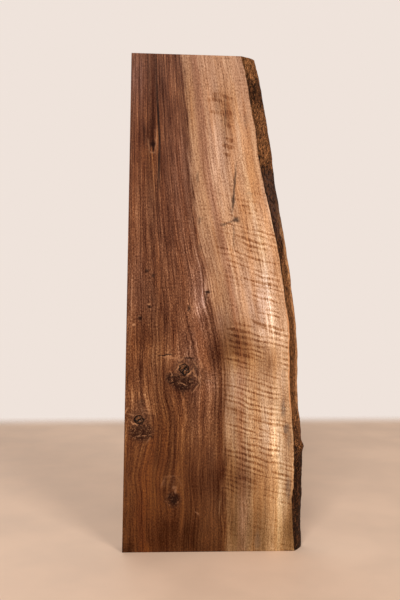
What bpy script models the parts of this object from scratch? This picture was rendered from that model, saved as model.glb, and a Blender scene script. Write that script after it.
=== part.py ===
"""Black walnut board with one live edge, standing on its sawn foot. Metres, +Z up, front face towards -Y.

The board is one piece of wood: two planed faces, a straight sawn side that leans in a little, a level foot, a top end
cut square to the sawn side, and the outside of the log as its fourth side. That live edge bellies out towards the
foot, and it is rounded through the thickness, so the back face is wider than the front one.
"""

import bmesh
import bpy
import numpy as np

# Driving dimensions. Distances across the board are from the foot's corner on the sawn side.
THICKNESS = 0.022
SIDE_HEIGHT = 0.6096  # foot to top along the sawn side
SIDE_LEAN = 0.0142  # how far the top of the sawn side stands in from its foot
EDGE_ROUND = 1.7  # power of the live edge's curve from front to back, 1 being a straight bevel

# The live edge where it meets the front and the back face: height above the foot, distance across
FRONT_LINE = (
    (0.000, 0.2136), (0.045, 0.2110), (0.105, 0.2126), (0.141, 0.2121), (0.189, 0.2079), (0.241, 0.2065),
    (0.283, 0.2055), (0.326, 0.1987), (0.379, 0.1905), (0.436, 0.1777), (0.481, 0.1683), (0.513, 0.1640),
    (0.554, 0.1569), (0.585, 0.1512), (0.607, 0.1447),
)
BACK_LINE = (
    (0.000, 0.2250), (0.040, 0.2245), (0.090, 0.2256), (0.118, 0.2258), (0.147, 0.2238), (0.185, 0.2201),
    (0.242, 0.2190), (0.280, 0.2173), (0.317, 0.2122), (0.355, 0.2076), (0.411, 0.1977), (0.466, 0.1886),
    (0.503, 0.1838), (0.558, 0.1744), (0.607, 0.1644),
)

# Low swellings along the live edge: length up the board, height, starting angle, turn from front to back
SWELLINGS = (
    (0.0830, 0.00022, 0.4, 1.9),
    (0.0470, 0.00018, 2.1, -2.6),
    (0.0310, 0.00014, 4.0, 3.7),
    (0.0190, 0.00010, 1.2, -4.4),
)

# The knob left by a small branch on the live edge
KNOB_HEIGHT = 0.128
KNOB_DEPTH = 0.85  # place through the thickness, 0 at the front face and 1 at the back
KNOB_RISE = 0.0026
KNOB_HALF_LENGTH = 0.0062
KNOB_HALF_DEPTH = 0.26

# How finely the live edge is divided
ROWS = 123
COLUMNS = 11

WALNUT_COLOUR = (0.25, 0.13, 0.07, 1.0)
WALNUT_ROUGHNESS = 0.5


def smooth(line, heights):
    """Distance across at each height, on cubic pieces through the line's points with the slope of the points
    on either side."""
    z, x = np.array(line).T
    slope = np.gradient(x, z)
    i = np.clip(np.searchsorted(z, heights, side="right") - 1, 0, len(z) - 2)
    span = z[i + 1] - z[i]
    t = (heights - z[i]) / span
    rise = x[i + 1] - x[i]
    start = span * slope[i] - rise
    end = rise - span * slope[i + 1]
    return x[i] + t * rise + t * (1 - t) * ((1 - t) * start + t * end)


def relief(heights, depth):
    """How far the live edge stands out of its smooth form: waves up the board, and the knob's round hill."""
    waves = sum(
        rise * np.sin(2 * np.pi * heights / length + angle + turn * depth)
        for length, rise, angle, turn in SWELLINGS
    )
    up = (heights - KNOB_HEIGHT) / KNOB_HALF_LENGTH
    through = (depth - KNOB_DEPTH) / KNOB_HALF_DEPTH
    return waves + KNOB_RISE * np.exp(-(up**2) - through**2)


def live_edge(heights, depth):
    """Distance across of the live edge. From front to back it follows 1 - (1 - depth) ** EDGE_ROUND."""
    front = smooth(FRONT_LINE, heights)
    back = smooth(BACK_LINE, heights)
    return front + (back - front) * (1 - (1 - depth) ** EDGE_ROUND) + relief(heights, depth)


def top_height(across):
    """Height of the top end, which is square to the leaning sawn side."""
    return SIDE_HEIGHT - SIDE_LEAN / SIDE_HEIGHT * (across - SIDE_LEAN)


def edge_grid():
    """Points of the live edge as an array of rows from foot to top by columns from front to back."""
    level, depth = np.meshgrid(np.linspace(0, 1, ROWS), np.linspace(0, 1, COLUMNS), indexing="ij")
    across = live_edge(level * SIDE_HEIGHT, depth)
    across = live_edge(level * top_height(across), depth)
    return np.stack([across, (depth - 0.5) * THICKNESS, level * top_height(across)], axis=-1)


def board_mesh():
    """The closed board: the live edge's grid, two faces, the sawn side, the foot and the top end."""
    grid = edge_grid()
    middle = 0.5 * grid[..., 0].max()
    body = bmesh.new()
    live = [[body.verts.new((x - middle, y, z)) for x, y, z in row] for row in grid]
    for low, high in zip(live, live[1:]):
        for a, b, c, d in zip(low, low[1:], high[1:], high):
            body.faces.new((a, b, c, d))

    half = 0.5 * THICKNESS
    foot_front, foot_back = (body.verts.new((-middle, y, 0)) for y in (-half, half))
    top_front, top_back = (body.verts.new((SIDE_LEAN - middle, y, SIDE_HEIGHT)) for y in (-half, half))
    body.faces.new([foot_front] + [row[0] for row in live] + [top_front])
    body.faces.new([top_back] + [row[-1] for row in reversed(live)] + [foot_back])
    body.faces.new((foot_back, foot_front, top_front, top_back))
    body.faces.new([foot_front, foot_back] + live[0][::-1])
    body.faces.new([top_back, top_front] + live[-1])
    bmesh.ops.recalc_face_normals(body, faces=body.faces)

    mesh = bpy.data.meshes.new("board")
    body.to_mesh(mesh)
    body.free()
    mesh.shade_smooth()
    mesh.set_sharp_from_angle(angle=np.radians(30))
    return mesh


def walnut():
    """Planed walnut, seen as one middle brown."""
    material = bpy.data.materials.new("walnut")
    material.use_nodes = True
    shader = material.node_tree.nodes["Principled BSDF"]
    shader.inputs["Base Color"].default_value = WALNUT_COLOUR
    shader.inputs["Roughness"].default_value = WALNUT_ROUGHNESS
    shader.inputs["Metallic"].default_value = 0.0
    return material


def main():
    for old in list(bpy.data.objects):
        bpy.data.objects.remove(old)
    mesh = board_mesh()
    mesh.materials.append(walnut())
    board = bpy.data.objects.new("board", mesh)
    bpy.context.collection.objects.link(board)


main()
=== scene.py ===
"""Looks of a black walnut board with one live edge, for Blender 4.5.

The board is one closed mesh worked out from its two edge lines. Growth rings, curl and knots are fields
through the whole piece of wood, so the faces, the sawn side, the ends and the live edge show the same timber.
Lengths are metres. Distances across are from the foot's corner on the sawn side, and depths are from the
front face.
"""

import math

import bpy
import numpy as np
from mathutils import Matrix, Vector


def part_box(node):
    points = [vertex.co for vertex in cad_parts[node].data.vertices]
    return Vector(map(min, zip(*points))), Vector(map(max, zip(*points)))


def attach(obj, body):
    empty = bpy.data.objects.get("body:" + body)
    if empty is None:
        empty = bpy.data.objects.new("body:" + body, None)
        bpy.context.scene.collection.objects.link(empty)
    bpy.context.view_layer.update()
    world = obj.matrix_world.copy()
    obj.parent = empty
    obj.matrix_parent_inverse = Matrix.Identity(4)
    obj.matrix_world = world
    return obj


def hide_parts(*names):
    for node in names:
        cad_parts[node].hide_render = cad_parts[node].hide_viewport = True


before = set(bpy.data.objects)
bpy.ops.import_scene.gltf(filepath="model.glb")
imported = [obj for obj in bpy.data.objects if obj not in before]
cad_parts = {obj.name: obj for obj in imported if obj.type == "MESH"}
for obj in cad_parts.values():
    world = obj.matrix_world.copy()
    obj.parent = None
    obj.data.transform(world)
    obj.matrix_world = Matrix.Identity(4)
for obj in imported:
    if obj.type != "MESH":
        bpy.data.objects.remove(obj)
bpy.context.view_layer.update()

bl_info = {
    "name": "Black Walnut Board",
    "version": (1, 0, 0),
    "blender": (4, 5, 0),
    "location": "3D View > Sidebar > Walnut",
    "description": "A live-edge walnut board with figured sapwood, knots and a soft studio stage",
    "category": "Add Mesh",
}

LOW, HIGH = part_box("board")
THICKNESS = HIGH.y - LOW.y
SIDE_HEIGHT = HIGH.z - LOW.z
SIDE_LEAN = 0.0142  # how far the top of the sawn side stands in from its foot
EDGE_ROUND = 1.7  # power of the live edge's curve from front to back

# The live edge where it meets the front and the back face: height above the foot, distance across
FRONT_LINE = (
    (0.000, 0.2136), (0.045, 0.2110), (0.105, 0.2126), (0.141, 0.2121), (0.189, 0.2079), (0.241, 0.2065),
    (0.283, 0.2055), (0.326, 0.1987), (0.379, 0.1905), (0.436, 0.1777), (0.481, 0.1683), (0.513, 0.1640),
    (0.554, 0.1569), (0.585, 0.1512), (0.607, 0.1447),
)
BACK_LINE = (
    (0.000, 0.2250), (0.040, 0.2245), (0.090, 0.2256), (0.118, 0.2258), (0.147, 0.2238), (0.185, 0.2201),
    (0.242, 0.2190), (0.280, 0.2173), (0.317, 0.2122), (0.355, 0.2076), (0.411, 0.1977), (0.466, 0.1886),
    (0.503, 0.1838), (0.558, 0.1744), (0.607, 0.1644),
)

# Low swellings along the live edge: length up the board, height, starting angle, turn from front to back
SWELLINGS = (
    (0.0830, 0.00022, 0.4, 1.9),
    (0.0470, 0.00018, 2.1, -2.6),
    (0.0310, 0.00014, 4.0, 3.7),
    (0.0190, 0.00010, 1.2, -4.4),
)

# The knob left by a small branch on the live edge
KNOB_HEIGHT = 0.128
KNOB_DEPTH = 0.85
KNOB_RISE = 0.0026
KNOB_HALF_LENGTH = 0.0062
KNOB_HALF_DEPTH = 0.26

# Where the dark heartwood ends on the front face: height, distance across
HEART_LINE = (
    (0.000, 0.1274), (0.065, 0.1276), (0.130, 0.1264), (0.177, 0.1268), (0.214, 0.1272), (0.251, 0.1234),
    (0.312, 0.1123), (0.349, 0.1062), (0.373, 0.1001), (0.410, 0.0928), (0.434, 0.0887), (0.458, 0.0850),
    (0.500, 0.0802), (0.542, 0.0764), (0.610, 0.0706),
)

# A branch runs out through the board, so a knot's middle drifts by this much per metre of depth
CORE_ACROSS = -0.70
CORE_UP = -0.35
RING_SLOPE = 1.3  # slope of the growth rings through the thickness at the sawn side

# Spacings of the curl's two faint waves, the ripple beside the main knot, the thin veins along the grain and
# the rings on the ends
WIDE_CURL = 0.0066
NARROW_CURL = 0.0047
RIPPLE = 0.0105
VEINS = 0.0058
RINGS = 0.0046

PARTING = 0.85  # how fully the grain parts at a knot

# Knots that the grain flows round: distance across, height, radius, stretch up the board
GRAIN_KNOTS = (
    (0.0755, 0.2200, 0.0165, 1.7),
    (0.0220, 0.1610, 0.0120, 1.8),
    (0.0625, 0.0740, 0.0105, 1.9),
    (0.0400, 0.4970, 0.0028, 4.0),
    (0.1390, 0.4085, 0.0022, 4.0),
    (0.0342, 0.3064, 0.0020, 3.5),
    (0.0226, 0.2905, 0.0020, 3.5),
    (0.0824, 0.3051, 0.0022, 3.5),
    (0.1056, 0.3221, 0.0022, 3.0),
    (0.0356, 0.3453, 0.0022, 3.0),
)

# Patches of curl, each a packet of bars across the grain: height, distance across, half height, half width,
# spacing of the bars, their fall to the right in degrees, strength
CURL = (
    (0.545, 0.121, 0.016, 0.012, 0.0078, 18, 0.35),
    (0.497, 0.131, 0.016, 0.006, 0.0080, 20, 0.30),
    (0.430, 0.156, 0.014, 0.020, 0.0072, 13, 0.40),
    (0.312, 0.176, 0.008, 0.014, 0.0090, 16, 0.35),
    (0.260, 0.144, 0.024, 0.014, 0.0072, 12, 1.15),
    (0.266, 0.178, 0.020, 0.016, 0.0062, 12, 0.85),
    (0.207, 0.178, 0.015, 0.012, 0.0066, 18, 0.85),
    (0.150, 0.160, 0.010, 0.022, 0.0070, 18, 0.60),
    (0.120, 0.160, 0.018, 0.018, 0.0068, 17, 1.15),
    (0.108, 0.190, 0.014, 0.018, 0.0074, 18, 0.75),
    (0.088, 0.158, 0.012, 0.018, 0.0070, 20, 0.50),
    (0.074, 0.194, 0.010, 0.014, 0.0065, 14, 0.50),
)

# Single dark bars of the curl: height and distance across at the middle, half length, thickness, fall to the
# right in degrees, strength
BARS = (
    (0.5605, 0.116, 0.004, 0.0030, 0, 1.40),
    (0.5574, 0.129, 0.007, 0.0024, 12, 1.30),
    (0.5533, 0.113, 0.010, 0.0020, 8, 1.00),
    (0.5470, 0.127, 0.007, 0.0024, 10, 1.30),
    (0.5396, 0.124, 0.013, 0.0026, 6, 1.50),
    (0.5340, 0.130, 0.005, 0.0032, 0, 1.30),
    (0.5230, 0.131, 0.004, 0.0028, 0, 1.00),
    (0.5073, 0.132, 0.006, 0.0022, 18, 1.30),
    (0.4990, 0.131, 0.007, 0.0024, 14, 1.40),
    (0.4885, 0.130, 0.004, 0.0022, 0, 1.00),
    (0.4407, 0.167, 0.010, 0.0014, 18, 0.70),
    (0.4412, 0.129, 0.008, 0.0014, 18, 0.60),
    (0.4340, 0.157, 0.012, 0.0014, 14, 0.85),
    (0.4261, 0.154, 0.011, 0.0018, 16, 1.10),
    (0.4194, 0.153, 0.010, 0.0016, 18, 1.00),
    (0.4047, 0.127, 0.007, 0.0018, -6, 0.80),
    (0.3870, 0.151, 0.006, 0.0018, 20, 0.80),
    (0.3840, 0.161, 0.018, 0.0015, 22, 0.95),
    (0.3766, 0.159, 0.011, 0.0016, 18, 1.10),
    (0.3608, 0.172, 0.021, 0.0016, 10, 1.10),
    (0.3559, 0.164, 0.008, 0.0012, 15, 0.60),
    (0.3449, 0.186, 0.006, 0.0014, 25, 0.90),
    (0.3358, 0.188, 0.009, 0.0015, 18, 0.90),
    (0.3339, 0.166, 0.027, 0.0016, 14, 1.30),
    (0.3302, 0.151, 0.009, 0.0011, 6, 0.60),
    (0.3120, 0.182, 0.009, 0.0013, 25, 0.75),
    (0.2949, 0.178, 0.011, 0.0014, 25, 0.75),
    (0.2827, 0.145, 0.008, 0.0016, 22, 0.80),
    (0.2809, 0.179, 0.023, 0.0016, 20, 1.05),
    (0.2766, 0.140, 0.010, 0.0018, 10, 1.00),
    (0.2742, 0.184, 0.017, 0.0015, 22, 0.90),
    (0.2668, 0.145, 0.011, 0.0020, 5, 1.10),
    (0.2595, 0.150, 0.010, 0.0016, 12, 0.95),
    (0.2534, 0.145, 0.012, 0.0014, 14, 0.80),
    (0.2449, 0.149, 0.018, 0.0018, 14, 1.25),
    (0.2315, 0.150, 0.009, 0.0014, 16, 0.80),
    (0.1717, 0.150, 0.026, 0.0018, 20, 1.20),
    (0.1729, 0.177, 0.013, 0.0013, 18, 0.90),
    (0.1631, 0.149, 0.007, 0.0013, 20, 0.80),
    (0.1595, 0.189, 0.020, 0.0015, 12, 1.05),
    (0.1485, 0.181, 0.010, 0.0012, 25, 0.60),
    (0.1455, 0.199, 0.008, 0.0013, 35, 0.75),
    (0.1424, 0.151, 0.007, 0.0014, 28, 1.00),
    (0.1009, 0.154, 0.010, 0.0014, 16, 0.85),
    (0.0973, 0.194, 0.012, 0.0015, 18, 0.95),
    (0.0912, 0.155, 0.013, 0.0020, 16, 1.30),
    (0.0790, 0.164, 0.014, 0.0015, 14, 1.00),
)

# Lighter and darker places in the wood, partly a painted sheen right of the main knot and along the live
# edge: height, distance across, half height, half width, amount
TONES = (
    # the top of the heartwood
    (0.585, 0.0220, 0.035, 0.0180, -0.60),
    (0.572, 0.0526, 0.016, 0.0035, -1.00),
    (0.570, 0.0660, 0.018, 0.0060, 0.80),
    (0.565, 0.0500, 0.035, 0.0060, -0.60),
    (0.560, 0.0405, 0.055, 0.0042, -1.30),
    (0.540, 0.0650, 0.014, 0.0080, -0.50),
    (0.520, 0.0290, 0.030, 0.0080, -0.60),
    (0.515, 0.0385, 0.018, 0.0060, -1.10),
    (0.510, 0.0220, 0.014, 0.0040, -0.60),
    (0.500, 0.0570, 0.060, 0.0060, -0.60),
    (0.490, 0.0400, 0.022, 0.0080, 0.55),
    (0.480, 0.0504, 0.018, 0.0045, -0.90),
    (0.478, 0.0290, 0.014, 0.0040, -0.50),
    (0.460, 0.0500, 0.030, 0.0120, -0.35),
    (0.450, 0.0295, 0.014, 0.0035, -0.50),
    (0.450, 0.0371, 0.014, 0.0035, 0.50),
    # the middle of the heartwood
    (0.405, 0.0821, 0.030, 0.0050, 0.50),
    (0.400, 0.0479, 0.028, 0.0040, 0.80),
    (0.400, 0.0520, 0.030, 0.0110, -0.60),
    (0.392, 0.0393, 0.016, 0.0040, -0.45),
    (0.390, 0.0225, 0.012, 0.0040, -0.60),
    (0.388, 0.0564, 0.016, 0.0045, -0.70),
    (0.360, 0.0110, 0.060, 0.0060, 0.40),
    # the light places 0.090 to 0.106 across, right of the main knot, are partly a painted sheen
    (0.355, 0.0920, 0.050, 0.0070, 0.80),
    (0.340, 0.0130, 0.030, 0.0050, 0.50),
    (0.330, 0.0900, 0.035, 0.0080, 0.45),
    (0.322, 0.1060, 0.020, 0.0070, 0.60),
    (0.315, 0.1000, 0.024, 0.0040, 0.35),
    (0.310, 0.0975, 0.016, 0.0080, 1.10),
    (0.300, 0.0480, 0.050, 0.0160, -0.20),
    (0.300, 0.0975, 0.014, 0.0060, 0.25),
    (0.298, 0.0560, 0.014, 0.0070, -0.45),
    (0.297, 0.0905, 0.008, 0.0070, 0.60),
    # the heartwood at the height of the knots, whose light places right of the main knot are partly a painted
    # sheen
    (0.278, 0.0640, 0.014, 0.0035, -1.00),
    (0.270, 0.0348, 0.014, 0.0050, -0.60),
    (0.270, 0.0803, 0.014, 0.0050, -0.50),
    (0.270, 0.1025, 0.014, 0.0045, 0.60),
    (0.262, 0.0282, 0.024, 0.0028, -1.30),
    (0.255, 0.1130, 0.014, 0.0080, -0.90),
    (0.252, 0.0450, 0.015, 0.0400, 0.75),
    (0.240, 0.0700, 0.007, 0.0160, 0.45),
    (0.240, 0.1110, 0.012, 0.0060, -0.60),
    (0.240, 0.1190, 0.014, 0.0080, -0.90),
    (0.226, 0.0240, 0.018, 0.0024, -1.00),
    (0.225, 0.1020, 0.030, 0.0120, 0.50),
    (0.212, 0.1070, 0.012, 0.0060, 0.45),
    (0.211, 0.0750, 0.010, 0.0125, -1.80),
    (0.210, 0.1170, 0.014, 0.0050, 0.70),
    (0.199, 0.0745, 0.010, 0.0030, -0.60),
    (0.196, 0.0180, 0.014, 0.0140, 0.80),
    (0.180, 0.1245, 0.016, 0.0035, -0.70),
    (0.178, 0.0330, 0.008, 0.0080, 0.70),
    (0.174, 0.0120, 0.014, 0.0120, 0.60),
    (0.170, 0.0600, 0.030, 0.0160, -0.25),
    (0.150, 0.0060, 0.014, 0.0060, 0.80),
    (0.150, 0.0830, 0.030, 0.0060, 1.10),
    (0.150, 0.1080, 0.040, 0.0080, 0.60),
    (0.148, 0.0220, 0.010, 0.0140, -0.50),
    (0.138, 0.0450, 0.040, 0.0060, -0.70),
    # the foot of the heartwood
    (0.122, 0.1060, 0.016, 0.0050, -0.80),
    (0.122, 0.1190, 0.016, 0.0050, 0.70),
    (0.120, 0.0460, 0.014, 0.0250, -0.45),
    (0.090, 0.0950, 0.024, 0.0300, -0.45),
    (0.086, 0.0610, 0.009, 0.0110, 0.80),
    (0.086, 0.1130, 0.022, 0.0250, -0.75),
    (0.077, 0.0510, 0.005, 0.0070, -0.60),
    (0.066, 0.0635, 0.007, 0.0070, -0.80),
    (0.060, 0.1255, 0.014, 0.0040, -0.60),
    (0.045, 0.0060, 0.022, 0.0050, -0.60),
    (0.040, 0.1120, 0.030, 0.0080, 0.30),
    (0.032, 0.0580, 0.010, 0.0080, -0.60),
    (0.026, 0.0950, 0.030, 0.0300, -0.25),
    (0.022, 0.0600, 0.030, 0.0360, -1.05),
    (0.022, 0.0850, 0.020, 0.0080, -0.80),
    (0.012, 0.0550, 0.014, 0.0200, -0.40),
    (0.004, 0.0040, 0.010, 0.0100, -1.60),
    (0.004, 0.1020, 0.010, 0.0160, -0.60),
    (0.003, 0.0320, 0.008, 0.0070, 0.80),
    # the top of the sapwood
    (0.600, 0.1300, 0.100, 0.0520, -0.55),
    (0.560, 0.0920, 0.045, 0.0070, -0.50),
    (0.548, 0.1240, 0.015, 0.0130, -0.35),
    (0.530, 0.1310, 0.018, 0.0025, -0.80),
    (0.520, 0.1330, 0.040, 0.0060, -0.40),
    (0.500, 0.1180, 0.050, 0.0080, 0.30),
    (0.480, 0.1000, 0.040, 0.0080, -0.35),
    (0.450, 0.0892, 0.016, 0.0035, -0.65),
    # the middle of the sapwood
    (0.430, 0.1500, 0.050, 0.0120, -0.45),
    (0.400, 0.1780, 0.030, 0.0090, 0.55),
    (0.382, 0.1165, 0.020, 0.0050, -0.80),
    (0.360, 0.1285, 0.012, 0.0050, 0.55),
    (0.335, 0.1740, 0.030, 0.0160, 0.35),
    (0.320, 0.1260, 0.050, 0.0060, -0.45),
    (0.292, 0.1800, 0.035, 0.0060, 0.65),
    # the lower sapwood
    (0.285, 0.1850, 0.025, 0.0030, 0.60),
    (0.272, 0.1710, 0.010, 0.0040, 1.20),
    (0.270, 0.1480, 0.028, 0.0160, -0.55),
    (0.270, 0.1510, 0.012, 0.0050, -0.60),
    (0.270, 0.1980, 0.012, 0.0040, 0.60),
    (0.268, 0.1270, 0.022, 0.0060, -0.60),
    (0.260, 0.1270, 0.040, 0.0060, -0.45),
    (0.260, 0.1400, 0.030, 0.0070, -0.50),
    (0.258, 0.1420, 0.026, 0.0130, -0.65),
    (0.255, 0.1420, 0.014, 0.0260, -0.70),
    (0.252, 0.1550, 0.018, 0.0080, -0.60),
    (0.238, 0.1820, 0.016, 0.0070, -0.80),
    (0.230, 0.1720, 0.025, 0.0120, -0.30),
    (0.225, 0.1830, 0.020, 0.0070, -0.50),
    (0.215, 0.1280, 0.030, 0.0050, -0.60),
    (0.213, 0.1570, 0.032, 0.0090, -0.65),
    (0.190, 0.1320, 0.026, 0.0060, -0.50),
    (0.178, 0.1900, 0.025, 0.0070, -0.60),
    (0.170, 0.1400, 0.020, 0.0060, -0.40),
    (0.165, 0.1480, 0.030, 0.0120, -0.20),
    (0.150, 0.2080, 0.040, 0.0080, -0.75),
    (0.145, 0.1860, 0.035, 0.0060, 1.35),
    # the foot of the sapwood
    (0.118, 0.1290, 0.018, 0.0045, -1.20),
    (0.118, 0.1782, 0.012, 0.0050, -0.60),
    (0.100, 0.1460, 0.030, 0.0150, -1.00),
    (0.090, 0.1400, 0.012, 0.0060, -0.80),
    (0.090, 0.1790, 0.040, 0.0060, -0.60),
    (0.088, 0.1640, 0.016, 0.0060, -0.60),
    (0.085, 0.1560, 0.060, 0.0140, -0.50),
    (0.060, 0.1550, 0.012, 0.0060, 0.50),
    (0.055, 0.1990, 0.025, 0.0065, 0.90),
    (0.050, 0.1540, 0.018, 0.0080, 0.35),
    (0.050, 0.1880, 0.060, 0.0060, 0.25),
    (0.045, 0.1390, 0.050, 0.0048, -0.90),
    (0.045, 0.2110, 0.030, 0.0030, -1.20),
    (0.040, 0.1650, 0.035, 0.0100, -0.70),
    (0.036, 0.1510, 0.022, 0.0060, 0.60),
    (0.030, 0.1290, 0.020, 0.0060, 0.50),
    (0.030, 0.1400, 0.040, 0.0160, -0.50),
    (0.030, 0.2050, 0.014, 0.0050, -0.60),
    (0.028, 0.1385, 0.020, 0.0050, -0.50),
    (0.020, 0.1680, 0.034, 0.0130, -0.80),
    (0.020, 0.2080, 0.045, 0.0070, -1.10),
    (0.003, 0.1860, 0.008, 0.0050, 0.60),
)

# Warmer and cooler places: height, distance across, half height, half width, amount, orange-brown above 0 and
# pinkish below
WARMTHS = (
    (0.580, 0.0180, 0.030, 0.0140, -0.80),
    (0.545, 0.1270, 0.030, 0.0160, 0.55),
    (0.540, 0.0395, 0.060, 0.0060, 0.80),
    (0.540, 0.0450, 0.030, 0.0150, 0.30),
    (0.540, 0.0860, 0.050, 0.0120, 0.35),
    (0.500, 0.1120, 0.060, 0.0080, -0.30),
    (0.490, 0.0370, 0.040, 0.0130, 0.90),
    (0.440, 0.1590, 0.060, 0.0090, 0.40),
    (0.420, 0.0300, 0.060, 0.0250, 0.30),
    (0.420, 0.1020, 0.050, 0.0110, 0.25),
    (0.375, 0.1700, 0.040, 0.0080, 0.65),
    (0.350, 0.0450, 0.070, 0.0250, 0.35),
    # the pinkish places right of the main knot, from here down to 0.120 high, are partly the pink of a
    # painted sheen
    (0.315, 0.0980, 0.045, 0.0120, -0.90),
    (0.300, 0.1700, 0.060, 0.0150, -0.35),
    (0.285, 0.1190, 0.020, 0.0060, -0.45),
    (0.265, 0.0300, 0.030, 0.0200, 0.50),
    (0.262, 0.1440, 0.026, 0.0150, 0.60),
    (0.250, 0.1300, 0.020, 0.0200, 0.60),
    (0.240, 0.0900, 0.035, 0.0220, -0.60),
    (0.240, 0.1580, 0.018, 0.0450, 0.45),
    (0.210, 0.1080, 0.014, 0.0080, -0.50),
    (0.170, 0.0250, 0.020, 0.0140, -0.60),
    (0.170, 0.0950, 0.050, 0.0220, -0.65),
    (0.150, 0.0520, 0.035, 0.0100, 0.50),
    (0.140, 0.1800, 0.040, 0.0160, -0.40),
    (0.120, 0.1120, 0.012, 0.0100, -0.50),
    (0.100, 0.0350, 0.040, 0.0250, 0.60),
    (0.095, 0.1340, 0.030, 0.0120, 0.80),
    (0.086, 0.0610, 0.010, 0.0110, -0.45),
    (0.050, 0.1130, 0.040, 0.0080, -0.75),
    (0.040, 0.2000, 0.060, 0.0120, 0.30),
    (0.030, 0.0400, 0.040, 0.0300, 1.80),
    (0.030, 0.1320, 0.030, 0.0090, 0.30),
    (0.020, 0.1650, 0.025, 0.0060, -0.45),
    (0.004, 0.0350, 0.012, 0.0350, 0.90),
    (0.000, 0.0100, 0.010, 0.0120, -0.80),
)

# Mottled burl at the knots: height, distance across, half height, half width, strength
BURLS = (
    (0.2130, 0.0750, 0.0125, 0.0145, 1.00),
    (0.2165, 0.0625, 0.0070, 0.0075, 1.00),
    (0.2290, 0.0800, 0.0120, 0.0150, 0.55),
    (0.2180, 0.0960, 0.0120, 0.0120, 0.40),
    (0.1510, 0.0245, 0.0120, 0.0150, 0.95),
    (0.1680, 0.0240, 0.0110, 0.0150, 0.50),
    (0.1850, 0.0240, 0.0060, 0.0060, 0.40),
    (0.0660, 0.0632, 0.0095, 0.0090, 0.75),
    (0.0860, 0.0610, 0.0090, 0.0110, 0.25),
)

# Small dark marks: distance across, height, half width, half height, strength
MARKS = (
    (0.0394, 0.5008, 0.0030, 0.0048, 1.00),
    (0.0398, 0.4970, 0.0015, 0.0046, 1.00),
    (0.0396, 0.5250, 0.0017, 0.0260, 0.45),
    (0.0292, 0.5130, 0.0018, 0.0130, 0.50),
    (0.0346, 0.3040, 0.0022, 0.0018, 0.85),
    (0.0230, 0.2900, 0.0026, 0.0030, 0.90),
    (0.0826, 0.3020, 0.0018, 0.0034, 0.85),
    (0.1058, 0.3222, 0.0030, 0.0020, 0.95),
    (0.1035, 0.3150, 0.0014, 0.0070, 0.50),
    (0.0318, 0.3478, 0.0022, 0.0022, 0.80),
    (0.0398, 0.3425, 0.0020, 0.0020, 0.75),
    (0.1408, 0.4100, 0.0040, 0.0032, 0.80),
    (0.1240, 0.4040, 0.0040, 0.0018, 0.40),
    (0.1375, 0.3880, 0.0012, 0.0140, 0.40),
    (0.1364, 0.4320, 0.0018, 0.0090, 0.60),
    (0.0935, 0.4610, 0.0014, 0.0070, 0.45),
    (0.0960, 0.4095, 0.0016, 0.0040, 0.40),
    (0.0962, 0.3765, 0.0018, 0.0050, 0.35),
    (0.0641, 0.0665, 0.0042, 0.0046, 0.70),
    (0.1268, 0.5340, 0.0011, 0.0280, 0.35),
    (0.0536, 0.2450, 0.0072, 0.0007, 0.55),
    (0.0835, 0.2415, 0.0062, 0.0007, 0.55),
    (0.0760, 0.1990, 0.0014, 0.0060, 0.50),
    (0.0772, 0.2150, 0.0042, 0.0038, 0.75),
    (0.0765, 0.2045, 0.0060, 0.0035, 0.55),
    (0.0222, 0.1560, 0.0050, 0.0034, 0.55),
    (0.0250, 0.1880, 0.0026, 0.0026, 0.30),
)

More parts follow.
